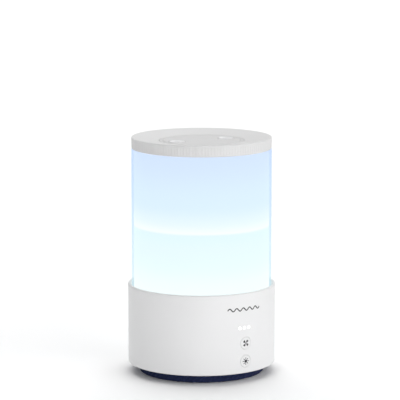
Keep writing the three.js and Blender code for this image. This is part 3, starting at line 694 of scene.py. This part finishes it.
def lid(looks):
    """The lid's cover: a ribbed side, a top that dips towards the dial and a seat for the dial."""
    recess = DIAL_R + CLEARANCE
    seat_low = DIAL_SEAT - SEAT_THICKNESS
    outline = rounded([
        (LID_R - LID_RIM, LID_LOW, 0.2),
        (LID_R - LID_LEAN, LID_LOW, 0.6),
        (LID_R, LID_HIGH, 1.0),
        (LID_R - LID_EDGE, LID_HIGH, 0.8),
        (recess, DIAL_TOP, 0.3),
        (recess, DIAL_SEAT),
        (DIAL_HOLE_R, DIAL_SEAT),
        (DIAL_HOLE_R, seat_low),
        (recess + SEAT_WALL, seat_low),
        (recess + SEAT_WALL, DIAL_TOP - LID_TOP_INNER),
        (LID_R - LID_RIM_TOP, LID_HIGH - LID_TOP_OUTER),
    ])
    height = LID_HIGH - LID_LOW

    def ribs(angle, r, z):
        """Fine upright ribs round the rim, which run out below its top edge."""
        if r < LID_SIDE_R:
            return 0
        groove = (0.5 - 0.5 * math.cos(LID_RIBS * angle)) ** 0.8
        return -LID_RIB_DEPTH * fade_out((z - LID_LOW) / height, LID_RIB_BAND, LID_RIB_FADE) * groove

    cover = revolve("lid", split_long(outline, 0.9), LID_RIBS * 6, shift=ribs)
    dress(cover, "lid", "lid_plastic", looks["lid_plastic"], "lid_cover")


SKIRT_R = 35.6  # inner radius of the collar that turns in the lid's hole
SKIRT_GAP = 0.4
GROOVE_R = 41
GROOVE_HALF_TOP = 0.7
GROOVE_HALF_FLOOR = 0.3
GROOVE_DEPTH = 0.6
NOZZLES = ("nozzle_left", "nozzle_right")
NOZZLE_SEAT = DIAL_TOP - 1.4
NOZZLE_BORE_R = 4.2
NOZZLE_PIPE_R = 6
NOZZLE_FLANGE_R = 9
NOZZLE_CREST = (8.6, 8.2)  # outer and inner radius of the ring at the very top
NOZZLE_CREST_DROP = 0.3
NOZZLE_FUNNEL_DEPTH = 3.4


def dial(looks):
    """A flat disc with one groove near its rim, a collar below it and a hole for each nozzle."""
    plate_low = DIAL_SEAT + CLEARANCE
    skirt_outside = DIAL_HOLE_R - SKIRT_GAP
    groove_floor = DIAL_TOP - GROOVE_DEPTH
    outline = rounded([
        (0, plate_low),
        (SKIRT_R, plate_low),
        (SKIRT_R, DIAL_LOW),
        (skirt_outside, DIAL_LOW, 0.4),
        (skirt_outside, plate_low),
        (DIAL_R, plate_low),
        (DIAL_R, DIAL_TOP, 0.5),
        (GROOVE_R + GROOVE_HALF_TOP, DIAL_TOP, 0.15),
        (GROOVE_R + GROOVE_HALF_FLOOR, groove_floor, 0.15),
        (GROOVE_R - GROOVE_HALF_FLOOR, groove_floor, 0.15),
        (GROOVE_R - GROOVE_HALF_TOP, DIAL_TOP, 0.15),
        (0, DIAL_TOP),
    ], 4)
    disc = revolve("dial", split_long(outline, 5))
    places = [node_centre(name) for name in NOZZLES]
    pipe_hole, flange_hole = NOZZLE_PIPE_R + CLEARANCE, NOZZLE_FLANGE_R + CLEARANCE
    above = LID_HIGH + 1
    opening = [
        (0, DIAL_LOW),
        (pipe_hole, DIAL_LOW),
        (pipe_hole, NOZZLE_SEAT),
        (flange_hole, NOZZLE_SEAT),
        (flange_hole, above),
        (0, above),
    ]
    holes = [revolve("hole", opening, 96, (place.x, place.y)) for place in places]
    combine(disc, holes, "DIFFERENCE")
    dress(disc, "dial", "dial_plastic", looks["dial_plastic"], "nozzle_dial")
    for name, place in zip(NOZZLES, places):
        nozzle(looks, name, place)


def nozzle(looks, name, place):
    """A short pipe whose mouth opens as a funnel, with a flange sunk into the dial."""
    low, high = (corner.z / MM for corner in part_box(name))
    flange_low = NOZZLE_SEAT + CLEARANCE
    outline = rounded([
        (NOZZLE_BORE_R, low, 0.3),
        (NOZZLE_PIPE_R, low, 0.3),
        (NOZZLE_PIPE_R, flange_low),
        (NOZZLE_FLANGE_R, flange_low, 0.2),
        (NOZZLE_FLANGE_R, high - NOZZLE_CREST_DROP, 0.25),
        (NOZZLE_CREST[0], high, 0.25),
        (NOZZLE_CREST[1], high, 0.2),
        (NOZZLE_BORE_R, high - NOZZLE_FUNNEL_DEPTH, 1.0),
    ], 6)
    ring = revolve(name.replace("nozzle", "mist_nozzle"), outline, 96, (place.x, place.y))
    dress(ring, "dial", "nozzle_plastic", looks["nozzle_plastic"], name)


# ---------------------------------------------------------------- buttons, lights and printed marks

ICON_THICKNESS = 0.04
# The button's face is part of a cylinder of this radius; with its icon it reaches as far as the CAD's.
BUTTON_FACE = -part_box("mist_button")[0].y / MM - ICON_THICKNESS - 0.01
BUTTON_FACE_SHARE = 0.92  # the share of the cap's radius that the rings on its face cover
BUTTON_EDGE = 0.55  # radius of the cap's soft edge
BUTTON_FLANGE_FRONT = 74.1  # distances of the flange's two faces from the object's axis
BUTTON_FLANGE_BACK = 73.4
BUTTON_FLANGE_R = BUTTON_R + 1.3
BUTTON_STEM_R = 2
INLAY_ROOT = 0.05  # how deep a printed mark is sunk into its surface


def wrapped(x, z, radius):
    """The point at arc length x and height z on the front of a cylinder round the object's axis."""
    angle = x / radius
    return Vector((radius * math.sin(angle) * MM, -radius * math.cos(angle) * MM, z * MM))


def button(looks, name, z):
    """A round cap with a soft edge that follows the wall's curve, a flange behind the wall and a stem."""
    bm = bmesh.new()
    columns = 96
    stem_end = -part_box(name)[1].y / MM
    # Rings as (radius, distance from the object's axis), from the middle of the face out over its soft
    # edge, and then back along the side to the stem.
    edge_start = BUTTON_R - BUTTON_EDGE
    edge_depth = BUTTON_FACE - BUTTON_EDGE
    profile = [(BUTTON_R * k / 8 * BUTTON_FACE_SHARE, BUTTON_FACE) for k in range(1, 9)]
    profile += [
        (edge_start + BUTTON_EDGE * math.sin(a), edge_depth + BUTTON_EDGE * math.cos(a))
        for a in (math.pi / 2 * k / 6 for k in range(7))]
    profile += [
        (BUTTON_R, BUTTON_FLANGE_FRONT),
        (BUTTON_FLANGE_R, BUTTON_FLANGE_FRONT),
        (BUTTON_FLANGE_R, BUTTON_FLANGE_BACK),
        (BUTTON_STEM_R, BUTTON_FLANGE_BACK),
        (BUTTON_STEM_R, stem_end),
    ]
    middle = bm.verts.new(wrapped(0, z, BUTTON_FACE))
    rings = []
    for reach, radius in profile:
        follows_wall = radius > BUTTON_FLANGE_FRONT + TOUCH
        ring = []
        for c in range(columns):
            angle = TAU * c / columns
            x = reach * math.cos(angle)
            up = reach * math.sin(angle)
            depth = math.sqrt(radius ** 2 - x ** 2) if follows_wall else radius
            ring.append(bm.verts.new((x * MM, -depth * MM, (z + up) * MM)))
        rings.append(ring)
    last = bm.verts.new((0, -stem_end * MM, z * MM))
    for c in range(columns):
        d = (c + 1) % columns
        bm.faces.new((middle, rings[0][c], rings[0][d]))
        bm.faces.new((last, rings[-1][d], rings[-1][c]))
        for inner, outer in zip(rings, rings[1:]):
            bm.faces.new((inner[c], outer[c], outer[d], inner[d]))
    cap = new_object(name + "_cap", bm)
    dress(cap, name, "white_plastic", looks["white_plastic"], name)


def inlay(name, outlines, radius):
    """Thin printed shapes on a cylinder: each outline is a ring of (x, z) points in millimetres.
    The shapes are divided into triangles while they are flat, and then wrapped round."""
    bm = bmesh.new()
    for outline in outlines:
        bm.faces.new([bm.verts.new((x, 0, z)) for x, z in outline])
    bmesh.ops.triangulate(bm, faces=bm.faces[:], ngon_method="EAR_CLIP")
    bm.verts.index_update()
    corners = [(vert.co.x, vert.co.z) for vert in bm.verts]
    triangles = [[vert.index for vert in face.verts] for face in bm.faces]
    rims = [[vert.index for vert in edge.verts] for edge in bm.edges if len(edge.link_faces) == 1]
    bm.free()
    bm = bmesh.new()
    front = [bm.verts.new(wrapped(x, z, radius + ICON_THICKNESS)) for x, z in corners]
    back = [bm.verts.new(wrapped(x, z, radius - INLAY_ROOT)) for x, z in corners]
    for a, b, c in triangles:
        bm.faces.new((front[a], front[b], front[c]))
        bm.faces.new((back[c], back[b], back[a]))
    for a, b in rims:
        bm.faces.new((front[a], front[b], back[b], back[a]))
    return new_object(name, bm)


def round_end(end, heading, half):
    """The points of a half circle round the end of a line that heads that way, from left to right."""
    turns = [math.pi * k / 6 - math.pi / 2 for k in range(5, 0, -1)]
    return [end + Matrix.Rotation(turn, 2) @ heading * half for turn in turns]


def stroke(path, width):
    """The outline of a line of that width along the points of path, with round ends."""
    half = width / 2
    points = [Vector(p) for p in path]
    left, right = [], []
    for i, here in enumerate(points):
        ahead = points[min(i + 1, len(points) - 1)] - points[max(i - 1, 0)]
        side = Vector((-ahead.y, ahead.x)).normalized() * half
        left.append(here + side)
        right.append(here - side)
    cap = round_end(points[-1], (points[-1] - points[-2]).normalized(), half)
    tail = round_end(points[0], (points[0] - points[1]).normalized(), half)
    return [tuple(p) for p in left + cap + right[::-1] + tail]


def circle(z, radius, count):
    """A circle's outline round the point at height z in the middle of the front."""
    angles = [TAU * k / count for k in range(count)]
    return [(radius * math.cos(a), z + radius * math.sin(a)) for a in angles]


SUN_R = 1.7
RAYS = 8
RAY_SPAN = (2.4, 3.6)  # distances of a ray's two ends from the sun's middle
RAY_WIDTH = 0.8
HUB_R = 0.45
BLADES = 4
BLADE_START = 0.5
BLADE_LENGTH = 3.4
BLADE_BULGE = 2.4
BLADE_RISE = 0.4
BLADE_TURN = 0.35  # radians by which the whole icon is turned
BLADE_STEPS = 12


def sun_icon(z):
    """A disc with short rays round it."""
    shapes = [circle(z, SUN_R, 24)]
    for k in range(RAYS):
        a = TAU * k / RAYS
        ray = [(r * math.cos(a), z + r * math.sin(a)) for r in RAY_SPAN]
        shapes.append(stroke(ray, RAY_WIDTH))
    return shapes


def breeze_icon(z):
    """Four curved blades round a hub."""
    shares = [s / BLADE_STEPS for s in range(BLADE_STEPS + 1)]
    bulging = [
        (BLADE_START + BLADE_LENGTH * t, BLADE_BULGE * math.sin(math.pi * t) ** 0.8 + BLADE_RISE * t)
        for t in shares]
    straight = [(BLADE_START + BLADE_LENGTH * t, BLADE_RISE * t) for t in shares[-2:0:-1]]
    shapes = [circle(z, HUB_R, 16)]
    for k in range(BLADES):
        turn = Matrix.Rotation(TAU * k / BLADES + BLADE_TURN, 2)
        shapes.append([tuple(turn @ Vector(point) + Vector((0, z))) for point in bulging + straight])
    return shapes


MARK_X = -1
MARK_Z = 78
MARK_WIDTH = 40
MARK_WAVES = 5
MARK_AMPLITUDE = 1.5
MARK_STROKE = 1.15


def wave_mark():
    """A generic mark: one long wave."""
    steps = MARK_WAVES * 16
    path = []
    for s in range(steps + 1):
        height = MARK_AMPLITUDE * math.sin(TAU * MARK_WAVES * s / steps)
        path.append((MARK_X + MARK_WIDTH * (s / steps - 0.5), MARK_Z + height))
    return [stroke(path, MARK_STROKE)]


def controls(looks):
    """The two buttons with their icons, the mark on the wall and the indicator lights."""
    button(looks, "mist_button", MIST_Z)
    button(looks, "light_button", LIGHT_Z)
    mist_icon = inlay("mist_icon", breeze_icon(MIST_Z), BUTTON_FACE)
    dress(mist_icon, "mist_button", "black_plastic", looks["print_grey"])
    light_icon = inlay("light_icon", sun_icon(LIGHT_Z), BUTTON_FACE)
    dress(light_icon, "light_button", "black_plastic", looks["print_grey"])
    mark = inlay("wave_mark", wave_mark(), BASE_R - ICON_THICKNESS / 2)
    dress(mark, "base", "black_plastic", looks["print_grey"])
    indicators(looks)


INDICATOR_BAR_YS = (-72, -69.4)
INDICATOR_BAR_DROP = 9.4  # from the fingers' axes to the bar's lower edge
FINGER_FRONT = -BASE_R - 2  # past the wall, until the ends are cut to its curve
FINGER_BACK = -70.5
FINGER_SUNK = 0.05  # how far the ends lie below the wall's face
WALL_REACH = 20


def indicators(looks):
    """Three light-pipe fingers whose ends follow the wall, on one bar behind it."""
    across = (INDICATOR_XS[0] - INDICATOR_MARGIN, INDICATOR_XS[-1] + INDICATOR_MARGIN)
    height = (INDICATOR_Z - INDICATOR_BAR_DROP, INDICATOR_Z + INDICATOR_MARGIN)
    bar = block("indicator_lights", across, INDICATOR_BAR_YS, height)
    fingers = [
        level_bar("finger", INDICATOR_R, FINGER_FRONT, FINGER_BACK, x, INDICATOR_Z, 32)
        for x in INDICATOR_XS]
    combine(bar, fingers, "UNION")
    low, high = INDICATOR_Z - WALL_REACH, INDICATOR_Z + WALL_REACH
    wall = upright_bar("wall", BASE_R - FINGER_SUNK, low, high, 0, 0, SIDE_COLUMNS)
    combine(bar, [wall], "INTERSECT")
    dress(bar, "base", "light_guide", looks["light_guide"], "indicator_light_pipe")


# ---------------------------------------------------------------- carried-over CAD nodes


WELD_M = 1e-5
SOFT_EDGE_M = 0.00018
SOFT_EDGE_ANGLE = math.radians(40)


def dress_frame(looks):
    """Every CAD node that still shows gets its slot's procedural material, soft edges and smooth sides."""
    slot_of = {part["node"]: part["material_slot"] for part in frame["record"]["subparts"]}
    for name, node in nodes.items():
        node.data.materials.clear()
        node.data.materials.append(looks[slot_of[name]])
        if node.hide_render:
            continue
        for polygon in node.data.polygons:
            polygon.use_smooth = True
        weld = node.modifiers.new("weld", "WELD")
        weld.merge_threshold = WELD_M
        bevel = node.modifiers.new("soft_edges", "BEVEL")
        bevel.width = SOFT_EDGE_M
        bevel.segments = 2
        bevel.limit_method = "ANGLE"
        bevel.angle_limit = SOFT_EDGE_ANGLE


# ---------------------------------------------------------------- floor and light


FLOOR_RADIUS_M = 14


def build_stage():
    """A wide, matt white floor."""
    bm = bmesh.new()
    bmesh.ops.create_circle(bm, cap_ends=True, segments=96, radius=FLOOR_RADIUS_M)
    floor = new_object("floor", bm)
    paint = Shader("floor_paint", (0.96, 0.96, 0.96), roughness=0.9)
    paint.grain(size_mm=30, height_mm=0.2, strength=0.05)
    paint.set("Specular IOR Level", 0.2)
    floor.data.materials.append(paint.material)


SKY = 0.32
KEY = 2.2
FILL = 0.65
TOP = 2.05
LOW_FILL_W = 0.08
LOW_FILL_SIZE_M = (0.45, 0.04)
LOW_FILL_DISTANCE_M = 0.3
LOW_FILL_HEIGHT_M = 0.025


def soft_sun(name, azimuth_deg, elevation_deg, width_deg, strength):
    """A wide, soft light from far away, in a direction given as a camera's would be."""
    a = math.radians(azimuth_deg)
    e = math.radians(elevation_deg)
    data = bpy.data.lights.new(name, "SUN")
    data.angle = math.radians(width_deg)
    data.energy = strength
    lamp = bpy.data.objects.new(name, data)
    direction = Vector((math.sin(a) * math.cos(e), -math.cos(a) * math.cos(e), math.sin(e)))
    lamp.rotation_euler = direction.to_track_quat("Z", "Y").to_euler()
    scene.collection.objects.link(lamp)


def low_fill():
    """A strip close to the floor in front, which lifts the lower part of the base."""
    data = bpy.data.lights.new("low_fill", "AREA")
    data.shape = "RECTANGLE"
    data.size = LOW_FILL_SIZE_M[0]
    data.size_y = LOW_FILL_SIZE_M[1]
    data.energy = LOW_FILL_W
    lamp = bpy.data.objects.new("low_fill", data)
    lamp.location = CAMERA_SIDE * LOW_FILL_DISTANCE_M + Vector((0, 0, LOW_FILL_HEIGHT_M))
    lamp.rotation_euler = CAMERA_SIDE.to_track_quat("Z", "Y").to_euler()
    lamp.visible_camera = False
    lamp.visible_glossy = False
    scene.collection.objects.link(lamp)


def build_light():
    """An even sky, three wide lights from far away and a low strip in front."""
    world = bpy.data.worlds.new("studio")
    world.use_nodes = True
    background = world.node_tree.nodes["Background"]
    background.inputs["Color"].default_value = (1, 1, 1, 1)
    background.inputs["Strength"].default_value = SKY
    scene.world = world
    soft_sun("key", azimuth_deg=16, elevation_deg=12, width_deg=75, strength=KEY)
    soft_sun("fill", azimuth_deg=-80, elevation_deg=10, width_deg=75, strength=FILL)
    soft_sun("top", azimuth_deg=148, elevation_deg=56, width_deg=70, strength=TOP)
    low_fill()
    scene.view_settings.view_transform = "Standard"


# ---------------------------------------------------------------- the whole scene

place_camera()
looks = make_materials()
base_shell(looks)
foot(looks)
tank(looks)
lid(looks)
dial(looks)
controls(looks)
dress_frame(looks)
build_stage()
build_light()
